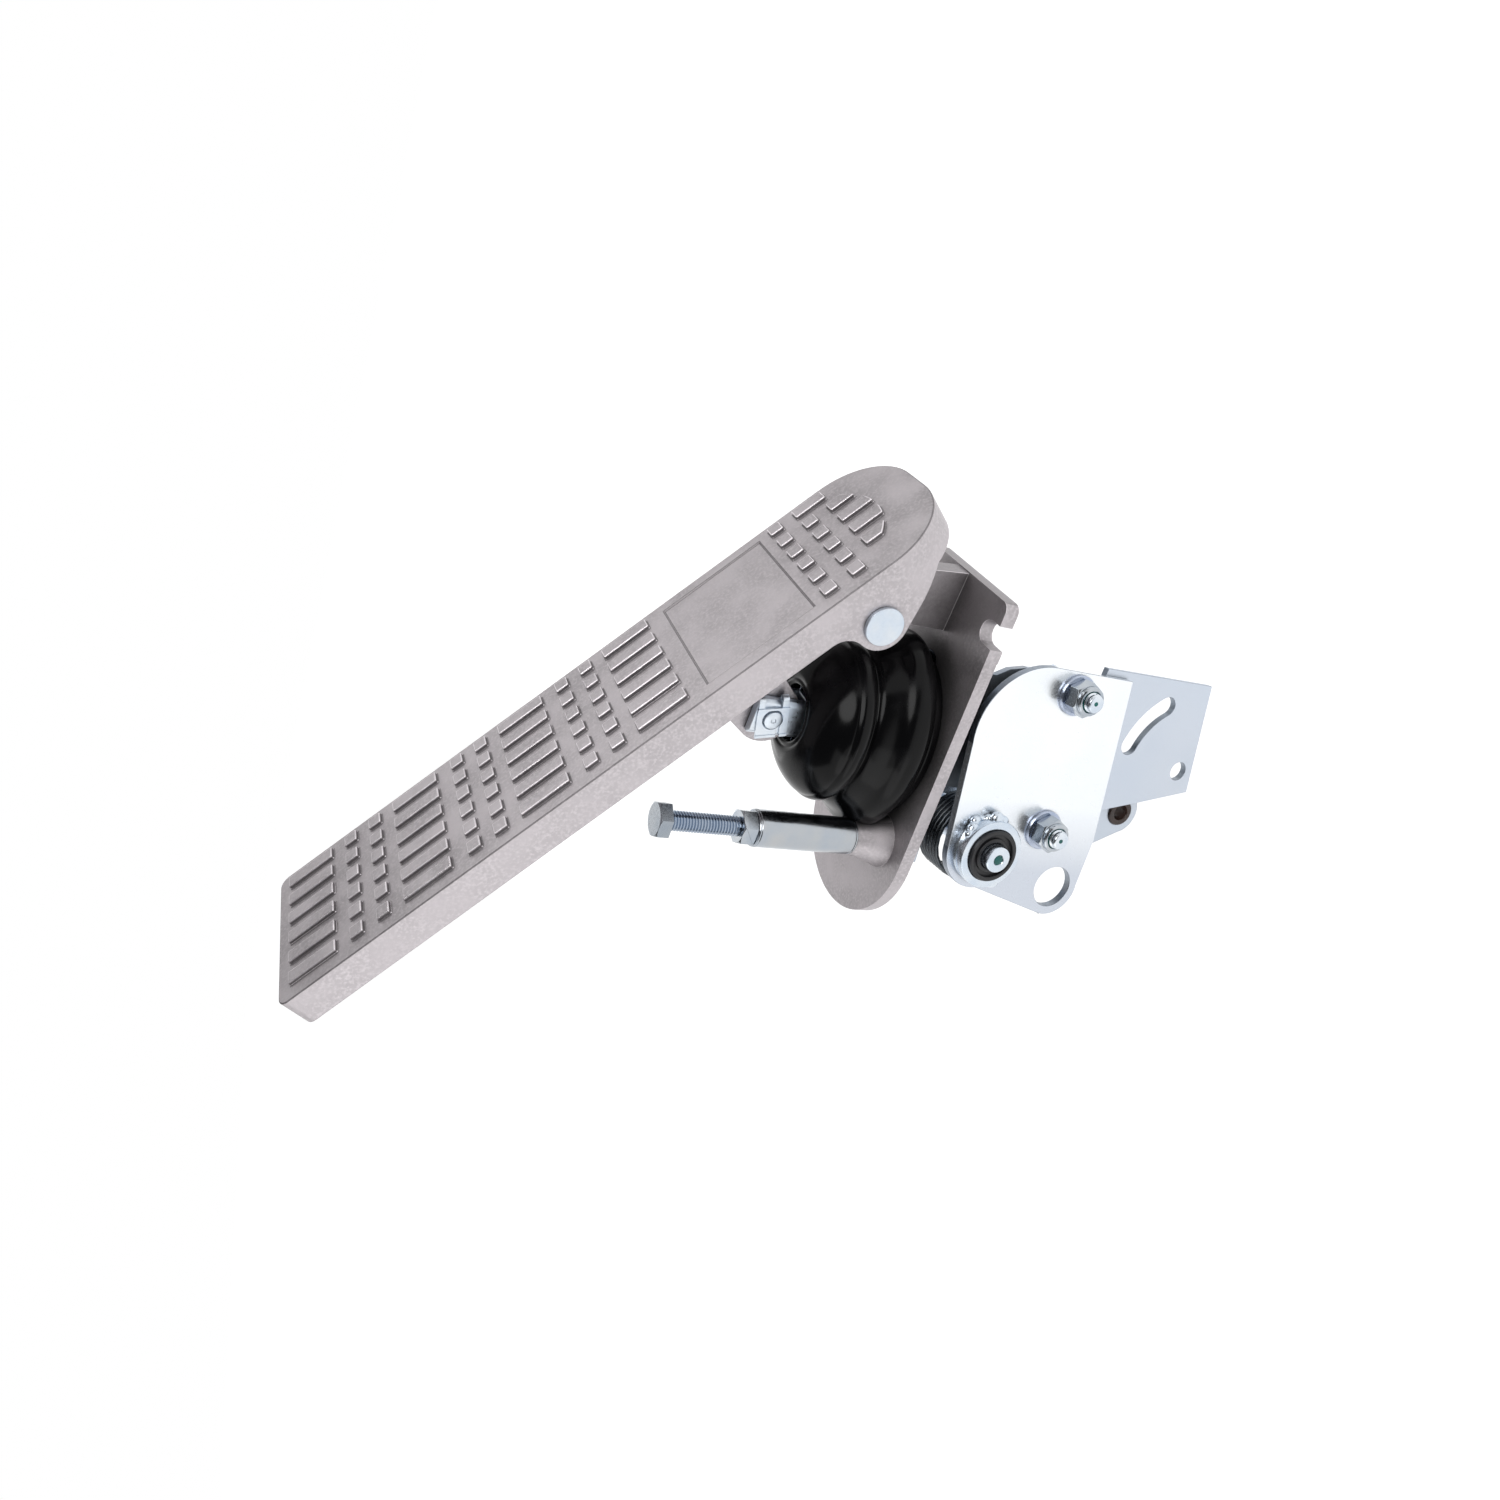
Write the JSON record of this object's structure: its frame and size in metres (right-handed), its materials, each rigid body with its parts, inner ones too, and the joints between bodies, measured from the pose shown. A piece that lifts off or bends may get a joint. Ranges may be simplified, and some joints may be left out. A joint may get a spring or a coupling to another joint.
{
  "type": "floor mounted accelerator pedal",
  "caption": "Floor-mounted accelerator pedal: ribbed treadle on a hinge, stop bolt, booted push rod and a lever bracket with cable holes below the plate.",
  "frame": {"origin": "on the base plate's mounting face, straight under the hinge pin's middle", "axes": "+X along the base plate towards the heel hinge, +Y along the hinge pin to the pin's clip end, +Z out of the mounting face towards the treadle"},
  "size_m": [0.2378, 0.0963, 0.3568],
  "materials": {
    "casting": "sand cast, dull",
    "zinc_white": "bright zinc plate",
    "zinc_dark": "blue zinc plate",
    "bronze": "sintered",
    "polished": "polished",
    "boot": "glossy moulded rubber",
    "bush_black": "moulded",
    "nylon_brown": "moulded",
    "plate_white": "bright zinc plate",
    "plate_blue": "blue zinc plate",
    "spring_black": "black coated spring steel"
  },
  "bodies": {
    "base": {"base_plate": "casting", "hinge_bush_near": "bronze", "hinge_bush_far": "bronze", "stop_sleeve": "polished", "stop_bolt": "zinc_dark", "stop_nut": "zinc_white", "rubber_boot": "boot", "shaft_bush_near": "bush_black", "shaft_bush_far": "bush_black", "bearing_ring_near": "zinc_white", "bearing_ring_far": "zinc_white", "near_plate": "plate_white", "adjuster_plate": "plate_blue", "bracket_channel": "zinc_white", "lug_bush": "nylon_brown", "bolt_upper": "zinc_white", "bolt_lower": "zinc_white", "nut_upper": "zinc_dark", "nut_lower": "zinc_dark", "washer_upper": "zinc_white", "washer_lower": "zinc_white", "spacer_upper": "zinc_dark", "spacer_lower": "zinc_dark", "return_spring": "spring_black", "channel_screw_heel": "zinc_dark", "channel_screw_toe": "zinc_dark"},
    "pedal": {"treadle": "casting", "hinge_pin": "zinc_white", "hinge_clip": "zinc_dark"},
    "rod": {"upper_fork": "zinc_white", "clevis_pin": "zinc_white", "clevis_clip": "zinc_white", "push_rod": "zinc_dark", "rod_nut_upper": "zinc_white", "rod_nut_lower": "zinc_white", "lower_fork": "zinc_white", "lower_pin": "zinc_white", "lower_clip": "zinc_white"},
    "lever": {"lever_shaft": "zinc_white", "input_lever": "zinc_white", "lever_collar": "zinc_white"}
  },
  "joints": [
    {"name": "pedal_hinge", "type": "hinge", "parent": "base", "child": "pedal", "pos_m": [0, 0, 0.056], "axis": [0, -1, 0], "range_deg": [0, 17.5], "stiffness_Nm_per_rad": 8, "springref_deg": -20.05, "deforming": ["rubber_boot"]},
    {"name": "rod_pin", "type": "hinge", "parent": "pedal", "child": "rod", "pos_m": [-0.05701, 0, 0.06848], "axis": [0, -1, 0], "range_deg": [-17.5, 0]},
    {"name": "lever_shaft_turn", "type": "hinge", "parent": "base", "child": "lever", "pos_m": [-0.08901, -0.01892, -0.025], "axis": [-0.2079, 0.9781, 0], "range_deg": [0, 28.3]}
  ],
  "couplings": [
    {"joint": "rod_pin", "follows": "pedal_hinge", "ratio": -1},
    {"joint": "lever_shaft_turn", "follows": "pedal_hinge", "ratio": 1.612}
  ]
}
